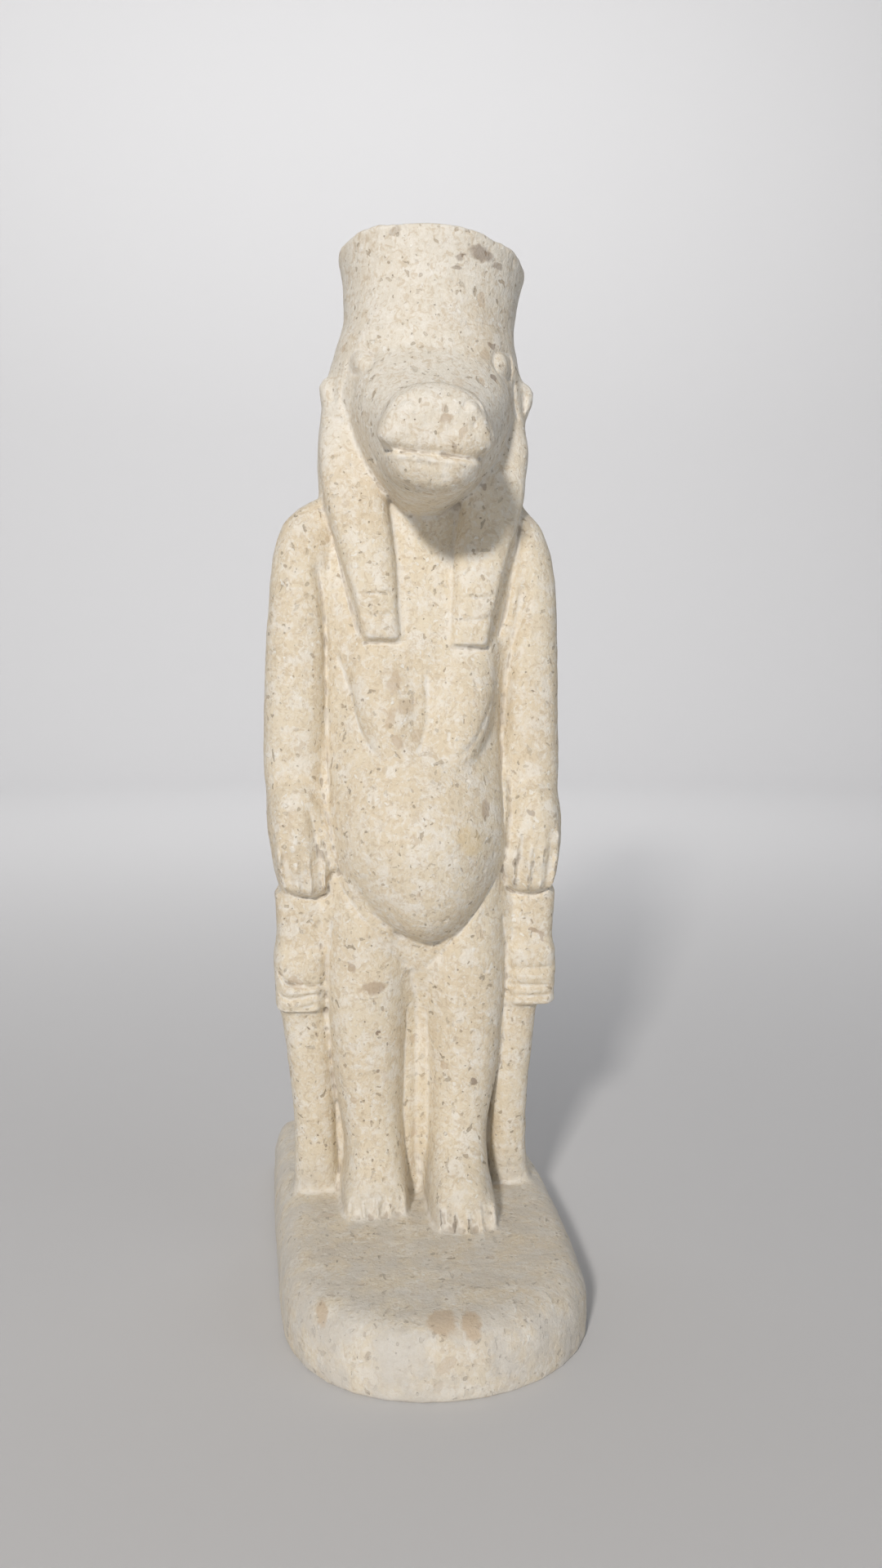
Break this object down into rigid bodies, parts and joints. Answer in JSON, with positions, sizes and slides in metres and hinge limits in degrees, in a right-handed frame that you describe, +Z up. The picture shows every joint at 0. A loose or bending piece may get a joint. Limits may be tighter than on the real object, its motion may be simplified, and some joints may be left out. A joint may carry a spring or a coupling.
{
  "type": "taweret statue",
  "caption": "Standing stone figure with a hippopotamus head, a full wig, a flat crown and a hanging belly, hands on knot amulets, on a low rounded plinth.",
  "frame": {"origin": "middle of the plinth's flat underside, under the middle of the bounding box", "axes": "+Z up to the crown, -Y the way the figure looks, +X towards the figure's own left side"},
  "size_m": [0.0902, 0.152, 0.3011],
  "materials": {
    "limestone": "matte, hand-carved cream limestone with small brown and beige flecks and pits"
  },
  "bodies": {
    "root": {"taweret_statue": "limestone"}
  },
  "joints": []
}
